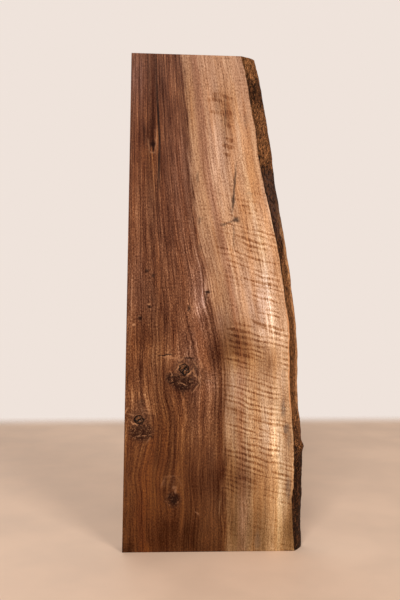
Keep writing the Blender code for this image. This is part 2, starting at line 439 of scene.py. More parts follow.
# Short strokes of bent grain: distance across, height, half length, half thickness, fall to the right in
# degrees, amount, light above 0 and dark below
STROKES = (
    # the eye
    (0.0345, 0.4990, 0.0080, 0.0008, 84, 0.30),
    (0.0436, 0.5060, 0.0130, 0.0009, -88, 0.55),
    (0.0392, 0.4912, 0.0040, 0.0012, 0, 0.35),
    # the forked mark in the sapwood
    (0.1380, 0.4480, 0.0270, 0.0013, -86, -0.75),
    (0.1320, 0.4070, 0.0090, 0.0012, -22, -0.45),
    (0.1350, 0.4180, 0.0070, 0.0010, 62, -0.30),
    # above the main knot
    (0.0542, 0.2449, 0.0085, 0.0007, -3, -0.75),
    (0.0600, 0.2420, 0.0100, 0.0012, 8, 0.45),
    (0.0744, 0.2400, 0.0042, 0.0010, -50, 0.50),
    (0.0793, 0.2412, 0.0028, 0.0012, 0, -0.50),
    (0.0842, 0.2413, 0.0048, 0.0008, 15, -0.85),
    # the main knot's rim
    (0.0700, 0.2302, 0.0058, 0.0010, -50, 0.80),
    (0.0838, 0.2227, 0.0048, 0.0011, -40, 0.80),
    (0.0903, 0.2339, 0.0045, 0.0009, 60, 0.60),
    (0.0888, 0.2254, 0.0042, 0.0010, 80, 0.60),
    (0.0915, 0.2290, 0.0060, 0.0007, 75, -0.60),
    (0.0982, 0.2339, 0.0048, 0.0012, 75, 0.50),
    (0.0732, 0.2199, 0.0040, 0.0008, 0, -0.90),
    # below the main knot
    (0.0756, 0.2095, 0.0052, 0.0008, 20, 0.60),
    (0.0903, 0.2193, 0.0028, 0.0008, 30, 0.70),
    (0.0952, 0.2156, 0.0034, 0.0009, 80, 0.50),
    (0.0915, 0.2088, 0.0056, 0.0006, -50, -0.65),
    (0.0935, 0.2070, 0.0050, 0.0006, -50, 0.45),
    (0.0880, 0.2040, 0.0056, 0.0006, -50, -0.65),
    (0.0900, 0.2022, 0.0050, 0.0006, -50, 0.45),
    (0.1098, 0.2146, 0.0044, 0.0006, 32, 0.55),
    (0.1108, 0.2122, 0.0048, 0.0006, 35, -0.55),
    # the lobe on its left
    (0.0580, 0.2144, 0.0052, 0.0009, 85, -0.90),
    (0.0634, 0.2113, 0.0054, 0.0009, -25, -0.90),
    (0.0658, 0.2180, 0.0034, 0.0009, 30, -0.80),
    (0.0616, 0.2223, 0.0034, 0.0010, 50, 0.50),
    # the side knot
    (0.0157, 0.1607, 0.0050, 0.0011, 28, 0.95),
    (0.0316, 0.1778, 0.0052, 0.0007, 0, 0.40),
    (0.0316, 0.1741, 0.0046, 0.0007, 0, 0.35),
    (0.0059, 0.1765, 0.0044, 0.0010, -60, 0.55),
    (0.0121, 0.1717, 0.0038, 0.0009, 15, 0.50),
    (0.0353, 0.1448, 0.0044, 0.0010, 30, -0.75),
    (0.0206, 0.1448, 0.0022, 0.0008, 0, 0.35),
    (0.0328, 0.1400, 0.0044, 0.0008, -60, 0.25),
    # the low knot under its dome of bent grain
    (0.0505, 0.0870, 0.0066, 0.0012, -66, 0.16),
    (0.0600, 0.0950, 0.0080, 0.0012, -5, 0.12),
    (0.0715, 0.0880, 0.0070, 0.0012, 64, 0.12),
    (0.0650, 0.0810, 0.0026, 0.0016, 20, 0.30),
    (0.0662, 0.0765, 0.0030, 0.0010, 85, 0.35),
    (0.0591, 0.0704, 0.0040, 0.0012, -60, -0.80),
    (0.0683, 0.0692, 0.0040, 0.0015, 80, -0.80),
    (0.0634, 0.0631, 0.0044, 0.0014, 20, -0.80),
    (0.0928, 0.0485, 0.0040, 0.0005, 45, 0.30),
    # the pins, pale on their upper side
    (0.0340, 0.3072, 0.0019, 0.0010, 0, 0.70),
    (0.0222, 0.2925, 0.0017, 0.0010, 0, 0.50),
    (0.0154, 0.2822, 0.0018, 0.0015, 0, 0.90),
    (0.0866, 0.3042, 0.0024, 0.0010, 20, 0.50),
)

# Greyish stains, most of them just inside the live edge: distance across, height, half width, half height,
# strength
STAINS = (
    (0.1990, 0.1780, 0.0028, 0.0100, 0.90),
    (0.2030, 0.1530, 0.0034, 0.0065, 1.00),
    (0.2062, 0.1400, 0.0024, 0.0120, 0.70),
    (0.1680, 0.0130, 0.0036, 0.0100, 0.40),
    (0.2062, 0.0780, 0.0030, 0.0140, 0.85),
    (0.1520, 0.5300, 0.0030, 0.0080, 0.40),
    (0.1570, 0.4420, 0.0040, 0.0016, 0.45),
)

# How much torn fibre shows on the live edge: height, share
TORN_FIBRE = (
    (0.000, 0.14), (0.095, 0.14), (0.112, 0.18), (0.135, 0.38), (0.150, 0.34), (0.175, 0.50),
    (0.300, 0.56), (0.345, 0.46), (0.375, 0.26), (0.395, 0.14), (0.468, 0.10), (0.476, 0.40),
    (0.500, 0.47), (0.545, 0.44), (0.556, 0.26), (0.572, 0.24), (0.582, 0.46), (0.609, 0.60),
)

# Round knots with a black ring: distance across, height, half width, half height
MAIN_KNOT = (0.0772, 0.2278, 0.0068, 0.0068)
SIDE_KNOT = (0.0219, 0.1657, 0.0064, 0.0055)

# Widths of heartwood and sapwood that the streaks are drawn at, before they close up with the board's taper
HEART_WIDTH = 0.115
SAP_WIDTH = 0.085

# How finely the board is divided: across, through the thickness and up
COLUMNS = 70
LAYERS = 18
ROWS = 430
FACE_WIDTH = 0.21  # about the width of a face, for which the columns are spaced
ROW_FALL = 0.054  # how far the rows fall at the live edge, as a share of the height
RELIEF_CLEAR = 0.01  # share of the width, at each side, that the knots' cracks stay away from

# The floor's size and grid, how far it lies below the board's foot, and the half length and half width where
# it has faded into the background
FLOOR_RADIUS = 2.0
FLOOR_RINGS = 40
FLOOR_SECTORS = 96
FLOOR_DROP = 0.0002
FLOOR_HALF_LENGTH = 1.6
FLOOR_HALF_WIDTH = 0.9

# Soft lights: name, which is also its power's name in StageLook, place, point that it faces, length of its
# sides, colour
LIGHTS = (
    ("key", (1.50, -2.60, 2.00), (0, 0, 0.20), 0.8, (1.0, 0.96, 0.91)),
    ("fill", (-0.75, -2.70, 2.60), (0, 0, 0.20), 0.8, (1.0, 0.97, 0.93)),
    ("back", (-1.20, 2.40, 2.20), (0, 0, 0.25), 2.0, (1.0, 0.98, 0.95)),
)

# The camera, found from the photo's perspective
PICTURE_HEIGHT = 600.0  # pixels
CAMERA_FOCUS = 861.0  # focal length in the same pixels
SENSOR = 36.0  # millimetres
CAMERA_ACROSS = 0.0653  # from the foot's corner
CAMERA_DISTANCE = 1.049  # from the front face
CAMERA_HEIGHT = 0.366
CAMERA_YAW = 1.7  # degrees to the right
CAMERA_PITCH = 2.925  # degrees down


def linear(red, green, blue):
    """A colour in Blender's linear values from its 0 to 255 screen values."""
    return tuple(
        value / 255 / 12.92 if value <= 10 else ((value / 255 + 0.055) / 1.055) ** 2.4
        for value in (red, green, blue)
    )


class BoardShape(bpy.types.PropertyGroup):
    """Sizes of the board's finish."""

    arris: bpy.props.FloatProperty(
        name="Arris", description="Radius that the sawn and planed edges are eased to",
        default=0.0004, min=0.0, unit="LENGTH",
    )
    edge_relief: bpy.props.FloatProperty(
        name="Live edge relief", description="Height of the ridges and flakes on the live edge",
        default=0.00042, min=0.0, unit="LENGTH",
    )
    knot_depth: bpy.props.FloatProperty(
        name="Knot depth", description="How deep the cracks in the knots are",
        default=0.0009, min=0.0, unit="LENGTH",
    )


class BoardColours(bpy.types.PropertyGroup):
    """Colours of the wood."""

    heart: bpy.props.FloatVectorProperty(
        name="Heartwood", description="Middle brown of the heartwood",
        subtype="COLOR", default=linear(113, 67, 42), min=0, max=1,
    )
    heart_dark: bpy.props.FloatVectorProperty(
        name="Dark heartwood", description="Darker growth in the heartwood",
        subtype="COLOR", default=linear(88, 47, 29), min=0, max=1,
    )
    vein: bpy.props.FloatVectorProperty(
        name="Vein", description="Thin dark lines along the growth rings",
        subtype="COLOR", default=linear(58, 30, 20), min=0, max=1,
    )
    knot: bpy.props.FloatVectorProperty(
        name="Knot", description="Black of the knots' rings and cracks",
        subtype="COLOR", default=linear(26, 17, 14), min=0, max=1,
    )
    sap: bpy.props.FloatVectorProperty(
        name="Sapwood", description="Tan of the sapwood",
        subtype="COLOR", default=linear(217, 169, 134), min=0, max=1,
    )
    edge_dark: bpy.props.FloatVectorProperty(
        name="Live edge", description="Dark brown of the live edge",
        subtype="COLOR", default=linear(78, 47, 27), min=0, max=1,
    )
    edge_bright: bpy.props.FloatVectorProperty(
        name="Live edge fibre", description="Orange-brown fibre that shows through on the live edge",
        subtype="COLOR", default=linear(160, 107, 66), min=0, max=1,
    )


class StageLook(bpy.types.PropertyGroup):
    """The floor, the background and the lights."""

    floor: bpy.props.FloatVectorProperty(
        name="Floor", description="Pale warm floor",
        subtype="COLOR", default=linear(238, 207, 182), min=0, max=1,
    )
    background: bpy.props.FloatVectorProperty(
        name="Background", description="Plain pale background",
        subtype="COLOR", default=linear(239, 227, 219), min=0, max=1,
    )
    ambient: bpy.props.FloatProperty(
        name="Ambient", description="Strength of the even light from all round", default=0.42, min=0.0,
    )
    key: bpy.props.FloatProperty(
        name="Key light", description="Power of the soft light at the front right",
        default=43.0, min=0.0, unit="POWER",
    )
    fill: bpy.props.FloatProperty(
        name="Fill light", description="Power of the soft light at the front left",
        default=52.0, min=0.0, unit="POWER",
    )
    back: bpy.props.FloatProperty(
        name="Back light", description="Power of the broad, weak light behind the board",
        default=14.0, min=0.0, unit="POWER",
    )


def smooth(line, at):
    """Distance across at each height, on cubic pieces through the line's points with the slope of the points
    on either side."""
    z, x = np.array(line).T
    slope = np.gradient(x, z)
    i = np.clip(np.searchsorted(z, at, side="right") - 1, 0, len(z) - 2)
    span = z[i + 1] - z[i]
    t = (at - z[i]) / span
    rise = x[i + 1] - x[i]
    start = span * slope[i] - rise
    end = rise - span * slope[i + 1]
    return x[i] + t * rise + t * (1 - t) * ((1 - t) * start + t * end)


def hills(u, v, cell_u, cell_v, seed):
    """Smooth random hills between -1 and 1: random heights on a lattice of cells, joined by 3 t^2 - 2 t^3."""
    size_u, size_v = 61, 127
    heights = np.random.default_rng(seed).uniform(-1, 1, (size_u, size_v))
    a, b = u / cell_u, v / cell_v
    i, j = np.floor(a).astype(int), np.floor(b).astype(int)
    a, b = a - i, b - j
    a, b = a * a * (3 - 2 * a), b * b * (3 - 2 * b)
    near_i, far_i, near_j, far_j = i % size_u, (i + 1) % size_u, j % size_v, (j + 1) % size_v
    low = (1 - a) * heights[near_i, near_j] + a * heights[far_i, near_j]
    high = (1 - a) * heights[near_i, far_j] + a * heights[far_i, far_j]
    return (1 - b) * low + b * high


def step(value, low, high):
    """0 below low, 1 above high and 3 t^2 - 2 t^3 between."""
    t = np.clip((value - low) / (high - low), 0, 1)
    return t * t * (3 - 2 * t)


def bell(value, middle, width):
    """A hill of height 1 at the middle, exp(-((value - middle) / width)^2)."""
    return np.exp(-(((value - middle) / width) ** 2))


def swelling(z, depth):
    """How far the live edge stands out of its smooth form: waves up the board, and the knob's round hill."""
    waves = sum(
        rise * np.sin(2 * np.pi * z / length + angle + turn * depth)
        for length, rise, angle, turn in SWELLINGS
    )
    up = (z - KNOB_HEIGHT) / KNOB_HALF_LENGTH
    through = (depth - KNOB_DEPTH) / KNOB_HALF_DEPTH
    return waves + KNOB_RISE * np.exp(-(up**2) - through**2)


def live_edge(z, depth):
    """Distance across of the live edge, front + (back - front) (1 - (1 - depth) ^ EDGE_ROUND) + swelling,
    with depth from 0 at the front face to 1 at the back."""
    front, back = smooth(FRONT_LINE, z), smooth(BACK_LINE, z)
    return front + (back - front) * (1 - (1 - depth) ** EDGE_ROUND) + swelling(z, depth)


def bark_relief(z, depth):
    """Height of the live edge's fine relief, between about -1 and 1: long ridges along the grain, flakes with
    steep rims, and small pits. It's rougher in the flaky stretches, round the knob and just below it."""
    y = depth * THICKNESS
    ridges = hills(y, z, 0.0024, 0.0160, 3) + 0.6 * hills(y, z, 0.0016, 0.0060, 4)
    flakes = step(hills(y, z, 0.0045, 0.0080, 5), -0.12, 0.12) - 0.5
    grit = hills(y, z, 0.0013, 0.0024, 6)
    pits = step(hills(y, z, 0.0026, 0.0040, 7), 0.45, 0.75)
    flaky = 0.35 + 0.65 * np.maximum(
        step(z, 0.468, 0.482) * (1 - 0.6 * step(z, 0.560, 0.566) * (1 - step(z, 0.582, 0.590))),
        np.maximum(bell(z, KNOB_HEIGHT, 0.018), 0.8 * step(z, 0.130, 0.110)),
    )
    rough = 1 + 1.3 * bell(z, 0.100, 0.034)
    return rough * (0.42 * ridges + flaky * (0.55 * flakes + 0.35 * grit - 0.8 * pits))


def sway(x, z):
    """Slow sideways wander of the grain, wider in the lower half round the knots, with a ripple to the
    right of the main knot."""
    low = step(z, 0.40, 0.30)
    slow = (0.0006 + 0.0006 * low) * hills(x, z, 0.030, 0.048, 41)
    slow += 0.0010 * low * hills(x, z, 0.017, 0.024, 42)
    rippled = np.exp(-(((x - 0.098) / 0.022) ** 4) - ((z - 0.250) / 0.075) ** 4)
    ripple = np.sin(2 * np.pi * z / RIPPLE + 60 * x + 2 * hills(x, z, 0.020, 0.030, 43))
    return slow + 0.00055 * rippled * ripple


def past_knots(x, d, z):
    """Distance across with the grain's flow round the knots taken out, x - PARTING dx / (1 + r^2 / R^2) for
    each, so that the grain parts as a stream does round a post. r^2 = dx^2 + (dz / stretch)^2, and the
    post drifts with depth."""
    straight = x.copy()
    for across, height, radius, stretch in GRAIN_KNOTS:
        dx = x - across - CORE_ACROSS * d
        dz = (z - height - CORE_UP * d) / stretch
        straight -= PARTING * dx / (1 + (dx**2 + dz**2) / radius**2)
    return straight


def front_place(x, d, z):
    """Where the growth ring through a point meets the front face: the distance across a for which
    x = a + d slope(a). The slope falls evenly from RING_SLOPE at the sawn side to the live edge's own."""
    front = live_edge(z, 0.0)
    slant = live_edge(z, np.clip(d / THICKNESS, 0, 1)) - front - RING_SLOPE * d
    return (x - RING_SLOPE * d) / (1 + slant / front)


def ring_place(x, d, z):
    """The front place of a point's growth ring, with the rings parted round the knots and swaying."""
    return front_place(past_knots(x, d, z) + sway(x, z), d, z)


def sap_share(place, z):
    """0 to 1 through the heartwood and 1 to 2 through the sapwood, from the sawn side to the live edge."""
    flat = np.zeros_like(z)
    side = ring_place(SIDE_LEAN * z / SIDE_HEIGHT, flat, z)
    heart = ring_place(smooth(HEART_LINE, z), flat, z)
    edge = ring_place(live_edge(z, flat), flat, z)
    return np.where(place < heart, (place - side) / (heart - side), 1 + (place - heart) / (edge - heart))


def curl(place, d, z):
    """The curl, below 0 on its light bars and above 0 on its dark ones. Each patch is a wave with soft edges,
    cos(2 pi p / spacing), with p measured square to the bars. Each single bar is exp(-(p / thickness)^2). Two
    faint waves run over the whole sapwood, the wider one in broken patches."""
    up = z - CORE_UP * d
    bend = 0.0013 * hills(place, up, 0.013, 0.020, 11) + 0.0006 * hills(place, up, 0.006, 0.007, 12)
    total = np.zeros_like(z)
    for height, across, half_height, half_width, spacing, fall, strength in CURL:
        angle = math.radians(fall)
        dx, dz = place - across, up - height
        along = dx * math.cos(angle) - dz * math.sin(angle)
        square = dz * math.cos(angle) + dx * math.sin(angle) + bend
        window = np.exp(-((along / half_width) ** 4) - (np.abs(square) / (half_height + 0.3 * spacing)) ** 4)
        total += strength * window * np.cos(2 * np.pi * square / spacing)
    for height, across, half_length, thickness, fall, strength in BARS:
        angle = math.radians(fall)
        dx, dz = place - across, up - height
        along = dx * math.cos(angle) - dz * math.sin(angle)
        square = dz * math.cos(angle) + dx * math.sin(angle) + 0.7 * bend
        total += strength * np.exp(-((along / half_length) ** 4) - (square / thickness) ** 2)
    total *= 0.78 + 0.45 * hills(place, up, 0.011, 0.006, 14)
    slanted = up + 0.28 * place + bend + 0.0030 * hills(place, up, 0.034, 0.026, 13)
    patchy = step(hills(place, slanted, 0.017, 0.015, 15), -0.40, 0.60)
    loose = patchy * np.cos(2 * np.pi * slanted / WIDE_CURL)
    slanted = slanted + 0.0014 * hills(place, up, 0.020, 0.012, 16)
    loose += 0.45 * np.cos(2 * np.pi * slanted / NARROW_CURL)
    where = 0.15 + 0.85 * step(z, 0.46, 0.41) * (0.30 + 0.70 * step(z, 0.05, 0.10))
    past = step(place - smooth(HEART_LINE, z), 0.004, 0.026)
    where *= 1 - step(z, 0.23, 0.29) * (0.30 + 0.70 * (1 - past))
    return total + 0.95 * where * loose


def soft_patches(place, z, patches):
    """The sum of soft oval patches, amount exp(-(dx / half width)^2 - (dz / half height)^2)."""
    total = np.zeros_like(z)
    for height, across, half_height, half_width, amount in patches:
        total += amount * bell(place, across, half_width) * bell(z, height, half_height)
    return total


def burl(x, d, z):
    """0 to 1 where the grain is tangled at the knots, each place a soft oval that drifts with the branch."""
    total = np.zeros_like(z)
    for height, across, half_height, half_width, strength in BURLS:
        dx = (x - CORE_ACROSS * d - across) / half_width
        dz = (z - CORE_UP * d - height) / half_height
        total = np.maximum(total, strength * step(np.hypot(dx, dz), 1.30, 0.70))
    return total


def knot_relief(x, d, z):
    """How far each face sinks at the round knots, from 0 to 1: a groove along the black ring and two or three
    cracks inside it."""
    core_x, core_z = x - CORE_ACROSS * d, z - CORE_UP * d
    total = np.zeros_like(z)
    for across, height, half_width, half_height in (MAIN_KNOT, SIDE_KNOT):
        dx, dz = (core_x - across) / half_width, (core_z - height) / half_height
        r = np.hypot(dx, dz) + 0.05 * hills(core_x, core_z, 0.003, 0.003, 31)
        ring = bell(r, 0.86, 0.11)
        crack = bell(dx - 0.8 * dz, 0, 0.16) + bell(dz, -0.05, 0.12)
        total = np.maximum(total, np.maximum(0.6 * ring, crack * (1 - step(r, 0.45, 0.75))))
    return total


def spread(count, weight):
    """count + 1 places from 0 to 1, closer together where weight(place) is higher."""
    fine = np.linspace(0, 1, 4001)
    total = np.concatenate([[0], np.cumsum(0.5 * (weight(fine[1:]) + weight(fine[:-1])))])
    return np.interp(np.linspace(0, total[-1], count + 1), total, fine)


def with_arris(places, length, radius):
    """The places with four more near each end, where the corner is rounded, and the ends themselves."""
    near = np.array([0.0, 0.22, 0.55, 1.0, 2.2]) * radius / length
    inner = places[(places > near[-1] * 1.4) & (places < 1 - near[-1] * 1.4)]
    return np.concatenate([near, inner, (1 - near)[::-1]])


def box_surface(columns, layers, rows):
    """The surface of a box of cells: (index triples of its points, its quads). Each side is a grid of two
    indices, and points that sides share are found once by their triple."""
    size = (columns, layers, rows)
    triples, quads, count = [], [], 0
    for axis in range(3):
        first, second = (axis + 1) % 3, (axis + 2) % 3
        for end in (0, size[axis] - 1):
            p, q = np.meshgrid(np.arange(size[first]), np.arange(size[second]), indexing="ij")
            points = np.empty((*p.shape, 3), int)
            points[..., axis], points[..., first], points[..., second] = end, p, q
            at = count + np.arange(p.size).reshape(p.shape)
            loop = [at[:-1, :-1], at[1:, :-1], at[1:, 1:], at[:-1, 1:]]
            quads.append(np.stack(loop if end else loop[::-1], axis=-1).reshape(-1, 4))
            triples.append(points.reshape(-1, 3))
            count += p.size
    triples, quads = np.concatenate(triples), np.concatenate(quads)
    found, index = np.unique(triples, axis=0, return_inverse=True)
    return found, index.reshape(-1)[quads]


def board_surface(shape):
    """The board as a bent box: left + u (live edge - left) across, v THICKNESS deep and w top(across)
    high, with its corners rounded by the arris radius. Across the sapwood its rows fall to the right as
    the curl does, but they're level at the foot and the top. Gives points, quads, the place of each point
    in the wood as (across, depth, height) before relief, and its box fractions."""
    columns = spread(COLUMNS, lambda u: 1 + 2 * bell(u, 0.10, 0.05) + 2 * bell(u, 0.38, 0.08))
    across = with_arris(columns, FACE_WIDTH, shape.arris)
    deep = with_arris(np.linspace(0, 1, LAYERS + 1), THICKNESS, shape.arris)
    rows = spread(ROWS, lambda w: 1 + bell(w, 0.37, 0.035) + bell(w, 0.27, 0.03))
    high = with_arris(rows, SIDE_HEIGHT, shape.arris)
    triples, quads = box_surface(len(across), len(deep), len(high))
    u, v, w = across[triples[:, 0]], deep[triples[:, 1]], high[triples[:, 2]]
    w = w - ROW_FALL * np.maximum(u - 0.45, 0) / 0.55 * step(w, 0.0, 0.16) * step(w, 1.0, 0.84)

    fall = SIDE_LEAN / SIDE_HEIGHT
    z = w * SIDE_HEIGHT
    for _ in range(3):
        left = SIDE_LEAN * z / SIDE_HEIGHT
        right = live_edge(z, v) + shape.edge_relief * bark_relief(z, v)
        x = left + u * (right - left)
        z = w * (SIDE_HEIGHT - fall * (x - SIDE_LEAN))
    y = v * THICKNESS

    top = SIDE_HEIGHT - fall * (x - SIDE_LEAN)
    inside = [
        np.stack([np.maximum(shape.arris - near, 0), np.maximum(shape.arris - far, 0)])
        for near, far in ((x - left, right - x), (y, THICKNESS - y), (z, top - z))
    ]
    push = np.stack([far - near for near, far in inside], axis=-1)
    length = np.maximum(np.linalg.norm(push, axis=-1, keepdims=True), 1e-9)
    wood = np.stack([x, y, z], axis=-1)
    place = wood - push + push / length * shape.arris

    sink = shape.knot_depth * knot_relief(x, y, z) * (np.minimum(u, 1 - u) > RELIEF_CLEAR)
    place[:, 1] += np.where(v == 0, sink, np.where(v == 1, -sink, 0))
    return place, quads, wood, np.stack([u, v, w], axis=-1)


def mesh_from(name, points, faces):
    """A mesh from an array of points and a list of faces."""
    mesh = bpy.data.meshes.new(name)
    mesh.from_pydata(points.tolist(), [], faces)
    mesh.update()
    return mesh


def store(mesh, name, values):
    """Keeps a number or a vector for each point under that name."""
    kind, slot = ("FLOAT_VECTOR", "vector") if values.ndim == 2 else ("FLOAT", "value")
    layer = mesh.attributes.new(name, kind, "POINT")
    layer.data.foreach_set(slot, np.ascontiguousarray(values, np.float32).ravel())


class Graph:
    """Builds a material's nodes. A method adds one step and gives the socket that holds its result. Its
    times_plus is a times b plus c, between goes softly from one value to another while its input goes from
    low to high, window rises from start to full and falls from fading to end, and noise and cells have a
    stretch for each direction."""

    def __init__(self, name):
        self.material = bpy.data.materials.new(name)
        self.material.use_nodes = True
        self.tree = self.material.node_tree
        self.shader = self.tree.nodes["Principled BSDF"]
        self.output = self.tree.nodes["Material Output"]

    def add(self, kind, inputs=(), **settings):
        node = self.tree.nodes.new(kind)
        for key, value in settings.items():
            setattr(node, key, value)
        for key, value in dict(inputs).items():
            self.fill(node.inputs[key], value)
        return node

    def fill(self, socket, value):
        if isinstance(value, bpy.types.NodeSocket):
            self.tree.links.new(value, socket)
        elif socket.type == "RGBA":
            socket.default_value = (*value, 1.0)
        else:
            socket.default_value = value

    def math(self, operation, *values):
        return self.add("ShaderNodeMath", enumerate(values), operation=operation).outputs[0]

    def plus(self, a, b):
        return self.math("ADD", a, b)

    def times(self, a, b):
        return self.math("MULTIPLY", a, b)

    def times_plus(self, a, b, c):
        return self.math("MULTIPLY_ADD", a, b, c)

    def vector(self, operation, *values):
        node = self.add("ShaderNodeVectorMath", enumerate(values), operation=operation)
        return node.outputs["Value" if operation in ("LENGTH", "DOT_PRODUCT") else "Vector"]

    def parts(self, vector):
        return self.add("ShaderNodeSeparateXYZ", {0: vector}).outputs

    def joined(self, x, y, z):
        return self.add("ShaderNodeCombineXYZ", {0: x, 1: y, 2: z}).outputs[0]

    def noise(self, place, stretch, detail=2.0, roughness=0.5, distortion=0.0):
        inputs = {"Vector": self.vector("MULTIPLY", place, stretch), "Scale": 1.0}
        inputs.update({"Detail": detail, "Roughness": roughness, "Distortion": distortion})
        return self.add("ShaderNodeTexNoise", inputs, noise_dimensions="3D").outputs["Fac"]

    def cells(self, place, stretch, feature="F1"):
        inputs = {"Vector": self.vector("MULTIPLY", place, stretch), "Scale": 1.0}
        return self.add("ShaderNodeTexVoronoi", inputs, feature=feature).outputs["Distance"]

    def between(self, value, low, high, to_low=0.0, to_high=1.0, kind="SMOOTHSTEP"):
        inputs = {"Value": value, "From Min": low, "From Max": high, "To Min": to_low, "To Max": to_high}
        return self.add("ShaderNodeMapRange", inputs, interpolation_type=kind).outputs[0]

    def window(self, value, start, full, fading, end):
        return self.times(self.between(value, start, full), self.between(value, end, fading))

    def mix(self, factor, a, b, blend="MIX"):
        node = self.add("ShaderNodeMix", data_type="RGBA", blend_type=blend)
        for socket, value in ((node.inputs[0], factor), (node.inputs[6], a), (node.inputs[7], b)):
            self.fill(socket, value)
        return node.outputs[2]

    def ramp(self, factor, stops):
        node = self.add("ShaderNodeValToRGB", {0: factor})
        elements = node.color_ramp.elements
        while len(elements) < len(stops):
            elements.new(0.5)
        for element, (place, _) in zip(elements, sorted(stops)):
            element.position = place
        for element, (_, colour) in zip(elements, sorted(stops)):
            element.color = (*colour, 1.0)
        return node.outputs["Color"]

    def attribute(self, name, output="Fac"):
        return self.add("ShaderNodeAttribute", attribute_name=name, attribute_type="GEOMETRY").outputs[output]

    def object_place(self):
        return self.add("ShaderNodeTexCoord").outputs["Object"]

    def finish(self, colour, roughness, height=None, strength=1.0, distance=0.001):
        self.tree.links.new(colour, self.shader.inputs["Base Color"])
        self.tree.links.new(roughness, self.shader.inputs["Roughness"])
        if height is not None:
            bump = self.add("ShaderNodeBump", {"Height": height, "Strength": strength, "Distance": distance})
            self.tree.links.new(bump.outputs[0], self.shader.inputs["Normal"])
        return self.material


def shade(colour, factor):
    """The colour made lighter or darker by that factor."""
    return tuple(min(1.0, value * factor) for value in colour[:3])


def blended(a, b, share):
    """The colour that lies that share of the way from a to b."""
    return tuple(p + (q - p) * share for p, q in zip(a[:3], b[:3]))


def in_stops(g, stops, shares):
    """A factor for red, green and blue, each 2 to the power of its share of the stops."""
    return g.joined(*(g.math("POWER", 2.0, g.times(stops, share)) for share in shares))


def core_place(g):
    """Position in the wood with a branch's drift through the thickness taken out, so that knots on both faces
    belong to one branch. It reads the Object coordinates, and its middle is at the foot's corner."""
    x, y, z = g.parts(g.object_place())
    depth = g.plus(y, 0.5 * THICKNESS)
    across = g.plus(g.times_plus(depth, -CORE_ACROSS, x), -LOW.x)
    up = g.times_plus(depth, -CORE_UP, z)
    return g.joined(across, 0.0, up)


def oval(g, place, across, height, half_width, half_height, fall):
    """1 inside an oval on the face, falling softly to 0 round its rim. Its width falls to the right by
    that many degrees."""
    turned = {
        "Vector": place, "Location": (across, 0.0, height), "Rotation": (0.0, math.radians(fall), 0.0),
        "Scale": (half_width, 1.0, half_height),
    }
    away = g.add("ShaderNodeMapping", turned, vector_type="TEXTURE").outputs[0]
    return g.between(g.vector("LENGTH", away), 1.6, 0.4)


def ovals(g, place, spots):
    """The highest of several ovals, each times its strength, and the place to read the next ones from.
    That place hangs on the result by a millionth of a millimetre, so that the renderer works the ovals
    out in turn: it has no room for all of them at once."""
    total = 0.0
    for count, (across, height, half_width, half_height, fall, strength) in enumerate(spots, 1):
        spot = oval(g, place, across, height, half_width, half_height, fall)
        total = g.math("MAXIMUM", total, g.times(spot, strength))
        if count % 6 == 0 or count == len(spots):
            place = g.vector("ADD", place, g.times(total, 1e-9))
    return total, place


def round_knot(g, colour, place, spot, colours):
    """A knot over the wood: a black ring, a cracked brown middle, and faint rings of grain outside it."""
    across, height, half_width, half_height = spot
    away = g.vector("SUBTRACT", place, (across, 0.0, height))
    away = g.vector("MULTIPLY", away, (1 / half_width, 0.0, 1 / half_height))
    warp = g.add("ShaderNodeTexNoise", {"Vector": place, "Scale": 230.0, "Detail": 2.0}).outputs["Color"]
    wobble = g.vector("MULTIPLY", g.vector("SUBTRACT", warp, (0.5, 0.5, 0.5)), (1.1, 0.0, 1.1))
    away = g.vector("ADD", away, wobble)
    ragged = g.noise(place, (420, 420, 420), detail=3)
    r = g.times_plus(ragged, 0.34, g.plus(g.vector("LENGTH", away), -0.17))

    wave = g.math("SINE", g.times(r, 10.0))
    fade = g.window(r, 0.95, 1.10, 1.3, 2.6)
    rings = g.times(g.times(fade, g.between(wave, 0.0, 0.9)), g.between(ragged, 0.62, 0.42))
    halo = g.times(fade, g.between(ragged, 0.45, 0.62, 0.0, 0.35))
    colour = g.mix(halo, colour, blended(colours.heart, colours.edge_bright, 0.75))
    colour = g.mix(g.times(rings, 0.75), colour, shade(colours.heart_dark, 0.7))

    middle = g.between(r, 0.95, 0.80)
    patches = g.noise(place, (650, 650, 900), detail=3, roughness=0.6)
    brown, orange = shade(colours.heart_dark, 0.50), shade(colours.edge_bright, 0.75)
    colour = g.mix(middle, colour, g.mix(g.between(patches, 0.38, 0.62), brown, orange))
    ring = g.window(r, 0.60, 0.74, 0.92, 1.04)
    ring = g.times(ring, g.between(g.parts(warp)[1], 0.36, 0.52, 0.65, 1.0))
    colour = g.mix(ring, colour, tuple(colours.knot))
    x, _, z = g.parts(away)
    slit = g.math("ABSOLUTE", g.times_plus(z, -0.8, g.times_plus(ragged, 0.9, g.plus(x, -0.45))))
    level = g.math("ABSOLUTE", g.times_plus(ragged, 0.8, g.plus(z, -0.35)))
    cracks = g.math("MAXIMUM", g.between(slit, 0.30, 0.12), g.between(level, 0.17, 0.06))
    cracks = g.times(cracks, g.between(r, 0.74, 0.6))
    return g.mix(cracks, colour, tuple(colours.knot))


